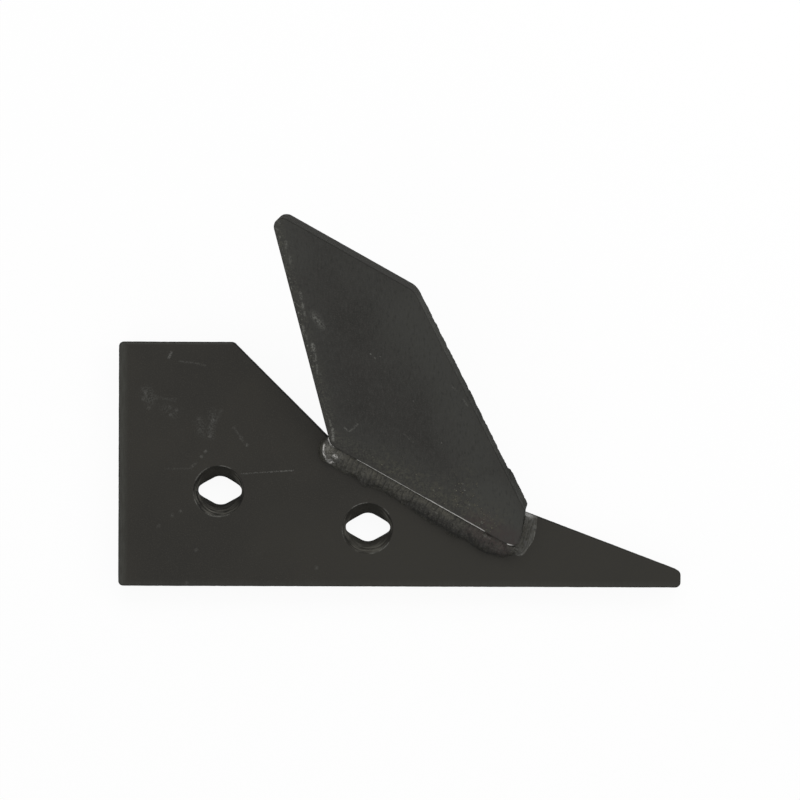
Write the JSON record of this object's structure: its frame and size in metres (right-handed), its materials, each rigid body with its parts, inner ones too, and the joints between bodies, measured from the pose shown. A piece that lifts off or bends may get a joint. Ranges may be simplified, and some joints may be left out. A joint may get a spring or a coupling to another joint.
{
  "type": "plough landside point",
  "caption": "Flat, long-nosed landside plate with countersunk diamond bolt holes and a leaning fin welded across its upper edge; it guides the plough and cuts the furrow wall.",
  "frame": {"origin": "on the seating face, half way between the two bolt holes", "axes": "+X along the sole edge towards the nose, +Y from the sole edge up to the fin, +Z out of the wearing face, on the side of the furrow wall"},
  "size_m": [0.29, 0.1873, 0.0576],
  "materials": {
    "plate_paint": "satin black paint over hot-rolled plate",
    "fin_paint": "satin black paint with scuffed edges",
    "weld_paint": "black paint over a rippled weld, thin and heat-browned in places"
  },
  "bodies": {
    "root": {"base_plate": "plate_paint", "fin": "fin_paint", "face_weld": "weld_paint", "end_weld": "weld_paint", "back_weld": "weld_paint"}
  },
  "joints": []
}
